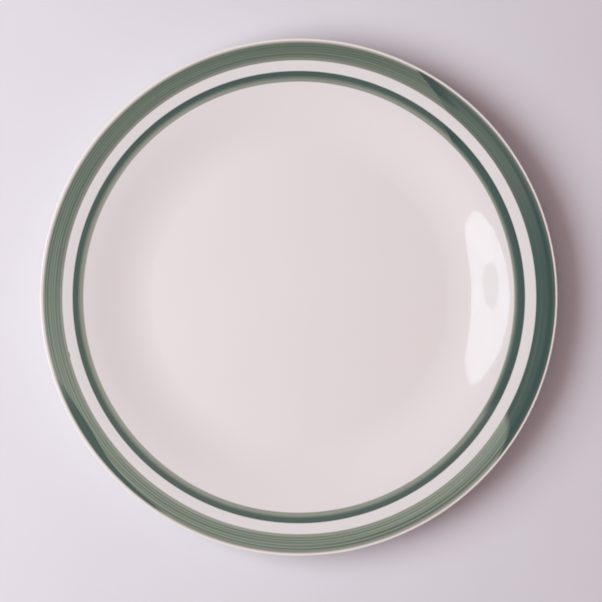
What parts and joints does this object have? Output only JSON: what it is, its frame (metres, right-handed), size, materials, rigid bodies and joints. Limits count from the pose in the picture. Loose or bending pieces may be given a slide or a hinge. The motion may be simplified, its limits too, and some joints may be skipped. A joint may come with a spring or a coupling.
{
  "type": "dinner plate",
  "caption": "Round white china dinner plate with a curved wall, a sloping rim, a rounded lip and a foot ring, painted with green brushed bands around the rim.",
  "frame": {"origin": "centre of the foot ring's resting plane, on the plate's axis", "axes": "+Z is the plate's axis and points up out of the well; +X points to the middle of the dark overlapped brush strokes"},
  "size_m": [0.27, 0.27, 0.0243],
  "materials": {
    "porcelain": "fired, unglazed body",
    "bare_foot": "bare, ground smooth",
    "white_glaze": "clear gloss glaze over white",
    "sage_green_paint": "brushed colour under gloss glaze",
    "dark_teal_paint": "second brush coat under gloss glaze",
    "dark_green_paint": "brushed colour under gloss glaze",
    "thin_green_wash": "thin brushed wash under gloss glaze"
  },
  "bodies": {
    "root": {"plate_body": "porcelain", "foot_ring": "bare_foot", "face_glaze": "white_glaze", "back_glaze": "white_glaze", "base_glaze": "white_glaze", "rim_band": "sage_green_paint", "rim_band_overlap": "dark_teal_paint", "rim_band_touch_up": "dark_teal_paint", "inner_band": "dark_green_paint", "inner_band_overlap": "dark_teal_paint", "inner_band_wash": "thin_green_wash"}
  },
  "joints": []
}
